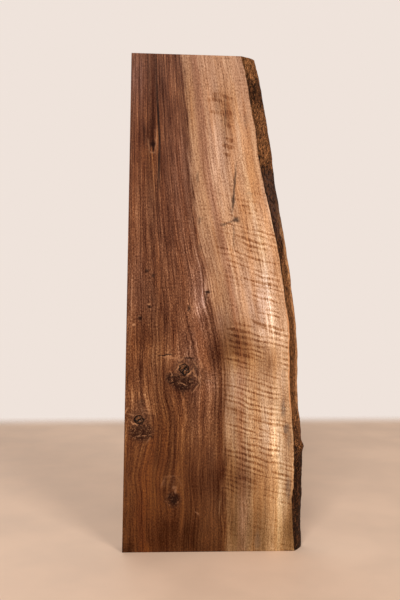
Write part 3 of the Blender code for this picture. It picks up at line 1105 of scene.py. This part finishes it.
class Wood:
    """The wood's fields and colour before curl and marks, shared by the faces and the ends.

    zones is the colour by place in the trunk. stops is how many times its brightness doubles or halves,
    summed from streaks of several widths along the grain. line is the black vein beside the eye."""

    def __init__(self, g, colours):
        self.grain = grain = g.attribute("grain", "Vector")
        share = g.attribute("sapwood")
        _, _, height = g.parts(grain)
        broad = g.noise(grain, (170, 60, 2.6), detail=2)
        self.middle = g.noise(grain, (360, 150, 9), detail=2, roughness=0.55)
        self.fine = g.noise(grain, (660, 420, 44), detail=2, roughness=0.6)
        self.speck = g.noise(grain, (840, 840, 420), detail=2, roughness=0.65)
        drift = g.noise(grain, (30, 25, 8.0), detail=2)

        blend = g.times(g.between(height, 0.21, 0.30, 0.30, 1.0), g.between(height, 0.50, 0.40))
        wander = g.times_plus(drift, 0.16, g.times_plus(self.middle, 0.12, share))
        wander = g.times_plus(self.fine, 0.12, g.plus(wander, -0.20))
        past = g.plus(share, -1.0)
        near = g.times(g.between(g.math("ABSOLUTE", past), 0.36, 0.12), blend)
        strand = g.times_plus(g.plus(self.middle, -0.5), -0.10, g.times_plus(past, -0.55, 0.028))
        wander = g.times_plus(strand, near, wander)
        heart, sap = tuple(colours.heart), tuple(colours.sap)
        umber = blended(heart, sap, 0.12)
        tan = blended(sap, heart, 0.36)
        pink = blended(blended(sap, heart, 0.32), linear(188, 118, 94), 0.28)
        cream = blended(sap, linear(240, 200, 166), 0.55)
        self.zones = g.ramp(g.times(wander, 0.5), (
            (0.000, shade(heart, 0.90)), (0.060, shade(heart, 1.04)), (0.120, heart),
            (0.190, shade(heart, 0.80)), (0.225, shade(heart, 0.94)), (0.300, shade(heart, 1.04)),
            (0.370, shade(heart, 1.06)), (0.430, shade(heart, 1.10)), (0.475, heart),
            (0.495, shade(heart, 0.85)), (0.508, umber), (0.526, blended(umber, tan, 0.7)), (0.550, tan),
            (0.570, blended(tan, sap, 0.30)), (0.592, shade(pink, 0.84)), (0.640, shade(pink, 0.95)),
            (0.662, blended(tan, sap, 0.4)), (0.700, sap), (0.735, blended(tan, sap, 0.7)),
            (0.775, blended(tan, sap, 0.55)), (0.815, blended(tan, sap, 0.8)), (0.850, sap), (0.895, cream),
            (0.920, sap), (0.950, blended(tan, sap, 0.7)), (0.985, blended(tan, sap, 0.75)),
        ))
        hue = g.noise(grain, (75, 45, 5.0), detail=3)
        self.zones = g.mix(g.between(hue, 0.50, 0.64, 0.0, 0.8), self.zones, (1.0, 0.88, 0.72), "MULTIPLY")
        self.zones = g.mix(g.between(hue, 0.48, 0.36, 0.0, 0.8), self.zones, (0.88, 0.91, 1.00), "MULTIPLY")

        self.heartwood = g.between(wander, 1.05, 0.98)
        low = g.times(g.between(height, 0.17, 0.10), self.heartwood)
        swing = g.times_plus(self.heartwood, g.between(height, 0.25, 0.36, 0.68, 0.90), 0.60)
        swing = g.times(swing, g.between(height, 0.45, 0.55, 1.0, 1.12))
        swing = g.times(swing, g.times_plus(low, -0.38, 1.0))
        stops = g.times(g.plus(broad, -0.5), g.times(self.heartwood, -2.2))
        for noise, weight in ((self.middle, 3.2), (self.fine, 3.0)):
            stops = g.times_plus(g.plus(noise, -0.5), g.times(swing, weight), stops)
        grainy = g.times(self.heartwood, g.between(height, 0.54, 0.36, 1.2, 3.2))
        grainy = g.times_plus(low, -3.0, g.plus(grainy, 3.9))
        stops = g.times_plus(g.plus(self.speck, -0.5), grainy, stops)
        sunk = g.times(stops, g.times_plus(self.heartwood, 0.38, -0.45))
        stops = g.times_plus(stops, sunk, stops)

        along = g.parts(grain)[0]
        turn = g.times_plus(broad, 9.0, g.times(along, 2 * math.pi / VEINS))
        kept = g.noise(grain, (120, 90, 9), detail=1)
        thin = g.times(g.between(g.math("SINE", turn), 0.60, 0.98), g.between(kept, 0.42, 0.60))
        thin = g.times(thin, g.between(near, 0.8, 0.0))
        veins = g.times(thin, g.times_plus(self.heartwood, 0.8, 0.2))
        stops = g.times_plus(veins, -0.75, stops)

        line = g.math("SUBTRACT", share, g.between(height, 0.44, 0.505, 0.462, 0.517, kind="LINEAR"))
        line = g.between(g.math("ABSOLUTE", line), 0.030, 0.011)
        line = g.times(line, g.between(height, 0.435, 0.470))
        self.line = g.times(line, g.between(height, 0.59, 0.55, 0.35, 1.0))

        # The tone field, partly a painted sheen right of the main knot and along the live edge.
        stops = g.times_plus(g.attribute("tone"), 0.75, stops)
        # Painted shade: the wood grows darker towards the foot, by up to 0.7 stops.
        self.stops = g.plus(stops, g.between(height, -0.04, 0.20, -0.70, 0.0))

    def colour(self, g):
        """The zones' colour, made brighter or darker by the stops. Darker wood is also redder, so green and
        blue change by more stops than red. The heartwood, and less so the sapwood, is painted warmer towards
        the foot and cooler towards the top: a painted cast of warm light bounced off the floor and of cool
        light from above."""
        height = g.parts(self.grain)[2]
        green = g.between(height, 0.0, 0.12, 1.10, 1.20)
        levels = in_stops(g, self.stops, (0.90, green, 1.45))
        # Painted light: warm light bounced off the floor at the foot and cool light at the top, as colour
        # casts by height.
        heart_light_cast = g.joined(1.0, g.between(height, 0.0, 0.3, 0.96, 1.0),
                              g.between(height, -0.05, 0.4, 0.40, 1.0))
        sap_light_cast = g.joined(0.97, g.between(height, 0.0, 0.45, 1.08, 0.98),
                            g.between(height, 0.0, 0.45, 0.95, 0.97))
        cast = g.mix(self.heartwood, sap_light_cast, heart_light_cast)
        # The warmth field; its pinkish places right of the main knot are partly a painted sheen.
        cast = g.vector("MULTIPLY", cast, in_stops(g, g.attribute("warmth"), (0.05, -0.08, -0.60)))
        return g.vector("MULTIPLY", self.zones, g.vector("MULTIPLY", cast, levels))


def planed_wood(colours):
    """Planed and oiled long grain: streaks and fibres, curl, pores, marks, stains and knots."""
    g = Graph("walnut_planed")
    wood = Wood(g, colours)

    # The curl's wavy fibres are the wood's own, but the dark and pale bars they show are chatoyance, a sheen
    # that moves with the view, painted here as darker and lighter colour.
    bars = g.attribute("curl")
    broken = g.between(g.times_plus(wood.fine, 0.6, g.times(wood.middle, 0.4)), 0.60, 0.42)
    sapwood = g.times_plus(wood.heartwood, -0.85, 1.0)
    dark_curl_and_shade = g.times(g.between(bars, 0.12, 0.84), g.times_plus(broken, 0.95, 0.20))
    dark_curl_and_shade = g.times(dark_curl_and_shade, sapwood)
    pale_curl_and_sheen = g.times(g.between(bars, 0.0, -0.8), sapwood)
    wood.stops = g.times_plus(pale_curl_and_sheen, 0.30, wood.stops)
    colour = g.vector("MULTIPLY", wood.colour(g), in_stops(g, dark_curl_and_shade, (-0.95, -1.45, -2.05)))

    height = g.parts(wood.grain)[2]
    rim = g.between(g.attribute("sapwood"), 1.972, 1.988)
    rim = g.times(rim, g.window(height, 0.15, 0.19, 0.28, 0.33))
    colour = g.mix(g.times(rim, 0.75), colour, shade(colours.edge_bright, 1.9))

    pores = g.noise(wood.grain, (1200, 1200, 120), detail=1)
    pores = g.between(pores, 0.60, 0.72)
    colour = g.mix(g.times(pores, 0.30), colour, tuple(colours.vein))

    place = core_place(g)
    tangle = g.attribute("burl")
    knurl = g.noise(place, (380, 380, 430), detail=3, roughness=0.65, distortion=0.8)
    dark_bits = g.times(g.between(knurl, 0.66, 0.50), tangle)
    bright_bits = g.times(g.between(knurl, 0.56, 0.64), tangle)
    colour = g.mix(g.times(dark_bits, 0.90), colour, shade(colours.vein, 0.60))
    pale = blended(shade(colours.edge_bright, 1.25), colours.sap, 0.30)
    colour = g.mix(g.times(bright_bits, 0.60), colour, shade(pale, 0.75))
    shift = g.noise(place, (260, 260, 140), detail=2)
    shaken = g.vector("ADD", place, g.joined(g.times_plus(shift, 0.004, -0.002), 0.0,
                                             g.times_plus(shift, 0.005, -0.0025)))
    speckle = g.noise(place, (900, 900, 500), detail=2)
    pale_strokes, shaken = ovals(g, shaken, [(*spot, amount) for *spot, amount in STROKES if amount > 0])
    dark_strokes, shaken = ovals(g, shaken, [(*spot, -amount) for *spot, amount in STROKES if amount < 0])
    colour = g.mix(pale_strokes, colour, pale)
    colour = g.mix(dark_strokes, colour, shade(colours.vein, 0.45))
    marks, shaken = ovals(g, shaken, [(*spot, 0.0, strength) for *spot, strength in MARKS])
    stains, shaken = ovals(g, shaken, [(*spot, 0.0, strength) for *spot, strength in STAINS])
    stains = g.times(stains, g.between(speckle, 0.30, 0.60, 0.35, 1.0))
    black_vein = g.times(wood.line, g.between(wood.fine, 0.35, 0.60, 1.0, 0.75))
    colour = g.mix(black_vein, colour, linear(30, 19, 17))
    colour = g.mix(marks, colour, shade(colours.vein, 0.42))
    colour = g.mix(g.times(stains, 0.75), colour, linear(96, 82, 73))

    for spot in (MAIN_KNOT, SIDE_KNOT):
        colour = round_knot(g, colour, place, spot, colours)

    gloss = g.between(g.vector("DOT_PRODUCT", colour, (0.3, 0.6, 0.1)), 0.005, 0.05, 0.05, 0.24)
    g.shader.inputs["Specular IOR Level"].default_value = 0.18
    g.tree.links.new(gloss, g.shader.inputs["Specular IOR Level"])
    roughness = g.times_plus(wood.fine, 0.16, g.times_plus(pores, 0.15, 0.36))
    height = g.times_plus(pores, -0.9, g.times_plus(wood.fine, 0.35, g.times(wood.speck, 0.4)))
    return g.finish(colour, roughness, height, strength=0.35, distance=0.0003)


def end_wood(colours):
    """Sawn end grain: the same rings seen as lines, with pores as dots, fine rays and saw marks."""
    g = Graph("walnut_end")
    wood = Wood(g, colours)
    place = g.object_place()
    pores = g.cells(wood.grain, (1500, 1500, 0))
    pores = g.times(g.between(pores, 0.30, 0.16), g.between(wood.middle, 0.35, 0.60))
    rays = g.noise(place, (160, 3200, 160), detail=2)
    rings = g.math("SINE", g.times(g.parts(wood.grain)[0], 2 * math.pi / RINGS))
    colour = g.mix(g.between(rings, 0.2, 1.0, 0.0, 0.45), wood.colour(g), tuple(colours.vein))
    colour = g.mix(g.between(rays, 0.55, 0.70, 0.0, 0.25), colour, tuple(colours.sap))
    colour = g.mix(g.times(pores, 0.8), colour, shade(colours.vein, 0.6))
    colour = g.mix(0.30, colour, (0.0, 0.0, 0.0))
    saw = g.noise(place, (700, 25, 700), detail=1)
    roughness = g.between(rays, 0.3, 0.7, 0.62, 0.75)
    height = g.times_plus(pores, -1.0, g.times(saw, 0.5))
    g.shader.inputs["Specular IOR Level"].default_value = 0.3
    return g.finish(colour, roughness, height, strength=0.4, distance=0.0004)


def live_edge_wood(colours):
    """The outside of the log without its bark: dark brown skin with torn orange-brown fibre in its flaky
    stretches, an orange strip along the back, and long cracks."""
    g = Graph("walnut_live_edge")
    place = g.object_place()
    _, y, z = g.parts(place)
    depth = g.times_plus(y, 1 / THICKNESS, 0.5)
    patches = g.noise(place, (230, 230, 130), detail=4, roughness=0.65)
    flakes = g.noise(place, (700, 700, 520), detail=3, roughness=0.7)
    threads = g.noise(place, (900, 900, 160), detail=3, roughness=0.6)
    grit = g.noise(place, (1100, 1100, 800), detail=3, roughness=0.7)
    long = g.noise(place, (260, 260, 22), detail=3)

    dark, bright = tuple(colours.edge_dark), tuple(colours.edge_bright)
    black = shade(dark, 0.30)
    wobble = g.times_plus(patches, 0.024, g.plus(z, -0.012))
    amount = g.ramp(g.times(wobble, 1 / SIDE_HEIGHT), [
        (height / SIDE_HEIGHT, (share,) * 3)
        for height, share in TORN_FIBRE
    ])
    amount = g.parts(amount)[0]
    mottle = g.times_plus(flakes, 0.80, g.times_plus(threads, 0.20, g.times(patches, 0.50)))
    mottle = g.between(g.plus(mottle, g.times_plus(amount, 0.62, -0.26)), 0.69, 0.81)
    strip = g.between(g.times_plus(flakes, 0.40, g.times_plus(long, 0.50, depth)), 0.82, 1.04)
    strip = g.times(strip, g.window(z, 0.140, 0.210, 0.370, 0.445))

    skin = g.mix(g.between(long, 0.40, 0.60), shade(dark, 0.30), shade(dark, 1.45))
    skin = g.mix(g.between(flakes, 0.48, 0.62, 0.0, 0.6), skin, shade(dark, 1.9))
    grey = g.window(z, 0.375, 0.400, 0.460, 0.480)
    skin = g.mix(g.times(grey, g.between(flakes, 0.40, 0.60, 0.90, 0.55)), skin, linear(92, 70, 62))
    skin = g.mix(g.between(z, 0.145, 0.100, 0.0, 0.90), skin, shade(dark, 0.20))
    mottled = g.noise(place, (320, 320, 240), detail=2, roughness=0.6)
    skin = g.mix(g.between(mottled, 0.52, 0.60, 0.0, 0.75), skin, shade(dark, 2.1))
    skin = g.mix(g.between(mottled, 0.49, 0.42, 0.0, 0.85), skin, black)
    fibre = g.mix(g.between(threads, 0.38, 0.62), shade(bright, 0.45), shade(bright, 1.45))
    colour = g.mix(mottle, skin, fibre)
    worn = g.mix(g.between(threads, 0.40, 0.60), blended(shade(bright, 1.6), colours.sap, 0.15),
                 blended(shade(bright, 3.4), colours.sap, 0.35))
    colour = g.mix(g.times(strip, 0.90), colour, worn)
    rim = g.times(g.between(depth, 0.14, 0.02), 0.55)
    side = g.window(z, 0.16, 0.19, 0.30, 0.34)
    side = g.times(g.between(g.times_plus(long, 0.4, depth), 0.62, 0.36), g.times(side, 0.40))
    colour = g.mix(g.math("MAXIMUM", rim, side), colour, black)
    bend = g.vector("MULTIPLY", g.joined(patches, flakes, long), (0.005, 0.005, 0.010))
    cells = g.cells(g.vector("ADD", place, bend), (330, 330, 90), "DISTANCE_TO_EDGE")
    cracks = g.between(cells, 0.10, 0.02)
    specks = g.between(grit, 0.36, 0.26)
    colour = g.mix(g.times(g.math("MAXIMUM", cracks, specks), 0.62), colour, black)

    roughness = g.between(mottle, 0.0, 1.0, 0.52, 0.78)
    height = g.times_plus(grit, 0.6, g.times_plus(cracks, -0.7, g.times(threads, 0.6)))
    g.shader.inputs["Specular IOR Level"].default_value = 0.04
    return g.finish(colour, roughness, height, strength=0.7, distance=0.0008)


class WALNUT_OT_board(bpy.types.Operator):
    """Add the board: one closed mesh with planed faces, sawn ends and a live edge"""

    bl_idname = "walnut.board"
    bl_label = "Walnut Board"

    def execute(self, context):
        shape, colours = context.scene.walnut_shape, context.scene.walnut_colours
        points, quads, wood, box = board_surface(shape)
        mesh = mesh_from("walnut_board", points + (LOW.x, LOW.y, 0.0), quads.tolist())
        x, d, z = wood.T
        place = ring_place(x, d, z)
        share = sap_share(place, z)
        straight = np.where(share < 1, HEART_WIDTH * share, HEART_WIDTH + SAP_WIDTH * (share - 1))
        store(mesh, "grain", np.stack([straight, d, z], axis=-1))
        store(mesh, "sapwood", share)
        front = front_place(x, d, z)
        store(mesh, "curl", curl(front, d, z))
        store(mesh, "tone", 0.22 * hills(front, z, 0.030, 0.110, 21) + soft_patches(front, z, TONES))
        store(mesh, "warmth", 0.25 * hills(front, z, 0.024, 0.080, 22) + soft_patches(front, z, WARMTHS))
        store(mesh, "burl", burl(x, d, z))

        for material in (planed_wood(colours), end_wood(colours), live_edge_wood(colours)):
            mesh.materials.append(material)
        corners = box[quads]
        ends = np.ptp(corners[..., 2], axis=1) == 0
        outside = (corners[..., 0] == 1).all(axis=1)
        finish = np.where(ends, 1, np.where(outside, 2, 0))
        mesh.polygons.foreach_set("material_index", finish.astype(np.int32))
        mesh.shade_smooth()
        mesh.update()

        board = bpy.data.objects.new("walnut_board", mesh)
        context.scene.collection.objects.link(board)
        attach(board, "root")
        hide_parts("board")
        return {"FINISHED"}


def floor_material(look):
    """Pale floor that fades out at its rim, so the background shows there instead."""
    g = Graph("stage_floor")
    place = g.object_place()
    cloud = g.noise(place, (9, 9, 9), detail=3)
    colour = g.mix(g.between(cloud, 0.3, 0.7, 0.0, 1.0), shade(look.floor, 0.95), shade(look.floor, 1.04))
    material = g.finish(colour, g.between(cloud, 0.3, 0.7, 0.5, 0.6))
    clear = g.add("ShaderNodeBsdfTransparent")
    x, y, _ = g.parts(place)
    along = g.math("POWER", g.times(x, 1 / FLOOR_HALF_LENGTH), 4.0)
    out = g.math("POWER", g.times(y, 1 / FLOOR_HALF_WIDTH), 4.0)
    fade = g.between(g.plus(along, out), 0.55, 1.0)
    both = g.add("ShaderNodeMixShader", {0: fade})
    g.tree.links.new(g.shader.outputs[0], both.inputs[1])
    g.tree.links.new(clear.outputs[0], both.inputs[2])
    g.tree.links.new(both.outputs[0], g.output.inputs["Surface"])
    return material


def disc(radius, rings, sectors):
    """A flat round grid: points at r (cos t, sin t, 0), with r growing evenly from the middle."""
    distances = np.linspace(0.02, radius, rings)
    angles = np.linspace(0, 2 * np.pi, sectors, endpoint=False)
    r, t = np.meshgrid(distances, angles, indexing="ij")
    points = np.stack([r * np.cos(t), r * np.sin(t), np.zeros_like(r)], axis=-1).reshape(-1, 3)
    at = np.arange(rings * sectors).reshape(rings, sectors)
    after = np.roll(at, -1, axis=1)
    quads = np.stack([at[:-1], at[1:], after[1:], after[:-1]], axis=-1).reshape(-1, 4)
    middle = len(points)
    points = np.concatenate([points, [[0, 0, 0]]])
    inner = [(middle, int(a), int(b)) for a, b in zip(at[0], after[0])]
    return mesh_from("stage_floor", points, quads.tolist() + inner)


def area_light(name, place, target, power, side, colour):
    """A soft square light at a place, facing the target."""
    data = bpy.data.lights.new(name, "AREA")
    data.size = side
    data.energy = power
    data.color = colour
    light = bpy.data.objects.new(name, data)
    light.location = place
    light.rotation_euler = (Vector(target) - Vector(place)).to_track_quat("-Z", "Y").to_euler()
    bpy.context.scene.collection.objects.link(light)


class WALNUT_OT_stage(bpy.types.Operator):
    """Add the pale floor, the soft light and the camera"""

    bl_idname = "walnut.stage"
    bl_label = "Studio Stage"

    def execute(self, context):
        scene, look = context.scene, context.scene.walnut_stage
        floor = bpy.data.objects.new("stage_floor", disc(FLOOR_RADIUS, FLOOR_RINGS, FLOOR_SECTORS))
        floor.data.materials.append(floor_material(look))
        floor.location.z = -FLOOR_DROP
        scene.collection.objects.link(floor)

        world = bpy.data.worlds.new("studio")
        world.use_nodes = True
        tree = world.node_tree
        lamp = tree.nodes["Background"]
        lamp.inputs["Color"].default_value = (*look.background, 1.0)
        lamp.inputs["Strength"].default_value = look.ambient
        seen = tree.nodes.new("ShaderNodeBackground")
        seen.inputs["Color"].default_value = (*look.background, 1.0)
        path = tree.nodes.new("ShaderNodeLightPath")
        both = tree.nodes.new("ShaderNodeMixShader")
        tree.links.new(path.outputs["Is Camera Ray"], both.inputs[0])
        tree.links.new(lamp.outputs[0], both.inputs[1])
        tree.links.new(seen.outputs[0], both.inputs[2])
        tree.links.new(both.outputs[0], tree.nodes["World Output"].inputs["Surface"])
        scene.world = world

        for name, place, target, side, colour in LIGHTS:
            area_light(name, place, target, getattr(look, name), side, colour)

        camera = bpy.data.cameras.new("camera")
        camera.sensor_width = SENSOR
        camera.lens = SENSOR * CAMERA_FOCUS / PICTURE_HEIGHT
        eye = bpy.data.objects.new("camera", camera)
        yaw = math.radians(CAMERA_YAW)
        pitch = math.radians(CAMERA_PITCH)
        ahead = Vector((math.sin(yaw) * math.cos(pitch), math.cos(yaw) * math.cos(pitch), -math.sin(pitch)))
        eye.location = (LOW.x + CAMERA_ACROSS, LOW.y - CAMERA_DISTANCE, CAMERA_HEIGHT)
        eye.rotation_euler = ahead.to_track_quat("-Z", "Y").to_euler()
        scene.collection.objects.link(eye)
        scene.camera = eye

        scene.view_settings.view_transform = "Standard"
        scene.view_settings.look = "None"
        return {"FINISHED"}


class WALNUT_PT_panel(bpy.types.Panel):
    """The board's settings and its operators."""

    bl_idname = "WALNUT_PT_panel"
    bl_label = "Black Walnut Board"
    bl_space_type = "VIEW_3D"
    bl_region_type = "UI"
    bl_category = "Walnut"

    def draw(self, context):
        layout = self.layout
        for group in (context.scene.walnut_shape, context.scene.walnut_colours, context.scene.walnut_stage):
            box = layout.box()
            for name in group.__annotations__:
                box.prop(group, name)
        for operator in (WALNUT_OT_board, WALNUT_OT_stage):
            layout.operator(operator.bl_idname)


CLASSES = (BoardShape, BoardColours, StageLook, WALNUT_OT_board, WALNUT_OT_stage, WALNUT_PT_panel)


def register():
    for item in CLASSES:
        bpy.utils.register_class(item)
    bpy.types.Scene.walnut_shape = bpy.props.PointerProperty(type=BoardShape)
    bpy.types.Scene.walnut_colours = bpy.props.PointerProperty(type=BoardColours)
    bpy.types.Scene.walnut_stage = bpy.props.PointerProperty(type=StageLook)


def unregister():
    for name in ("walnut_shape", "walnut_colours", "walnut_stage"):
        delattr(bpy.types.Scene, name)
    for item in reversed(CLASSES):
        bpy.utils.unregister_class(item)


def main():
    register()
    bpy.ops.walnut.board()
    bpy.ops.walnut.stage()


if __name__ == "__main__":
    main()
